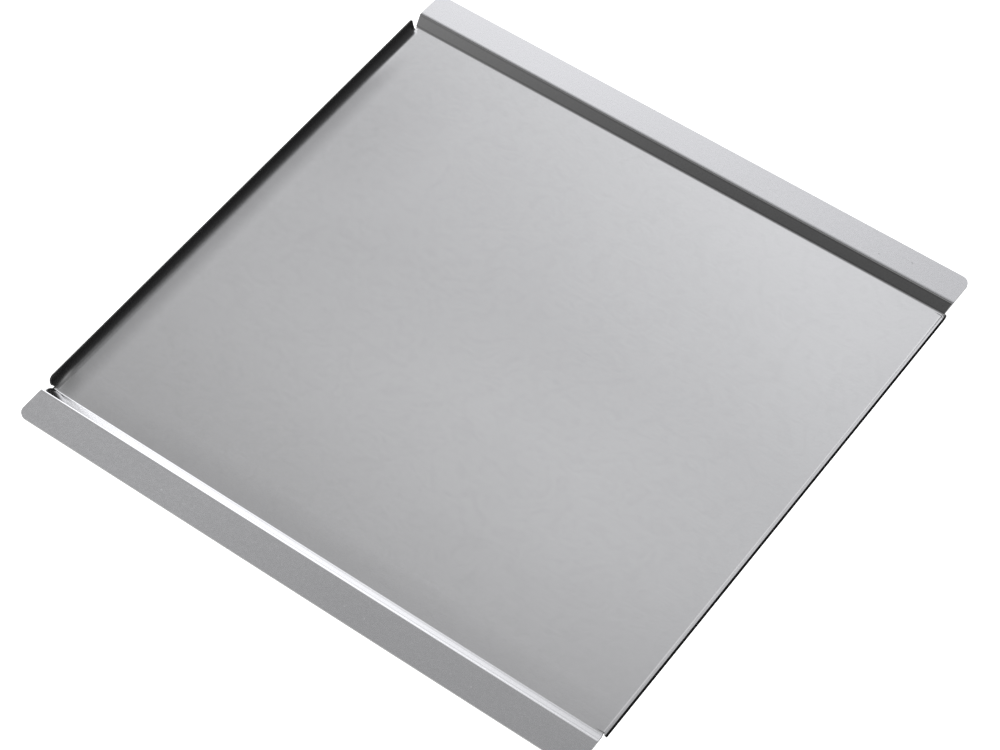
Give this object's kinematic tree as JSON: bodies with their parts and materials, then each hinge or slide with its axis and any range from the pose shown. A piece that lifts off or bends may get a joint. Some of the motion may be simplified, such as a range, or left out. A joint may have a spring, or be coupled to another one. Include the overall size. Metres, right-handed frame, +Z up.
{
  "type": "griddle plate",
  "caption": "Flat rectangular griddle plate bent from one stainless steel sheet: a shallow flat floor, two raised hanging flanges and two low side lips that lean outwards.",
  "frame": {"origin": "under the centre of the plate, on the underside of its floor", "axes": "+X along the flanges towards the right lip, +Y across the plate from the front flange to the rear flange, +Z up"},
  "size_m": [0.4046, 0.413, 0.0065],
  "materials": {
    "floor_steel": "smooth cold-rolled stainless steel, semi-gloss, with a faint fine grain",
    "edge_steel": "the same stainless steel sheet, a little duller and faintly mottled, with bent edges rubbed bright"
  },
  "bodies": {
    "root": {"floor_plate": "floor_steel", "front_riser": "edge_steel", "rear_riser": "edge_steel", "front_flange": "edge_steel", "rear_flange": "edge_steel", "left_lip": "edge_steel", "right_lip": "edge_steel"}
  },
  "joints": []
}
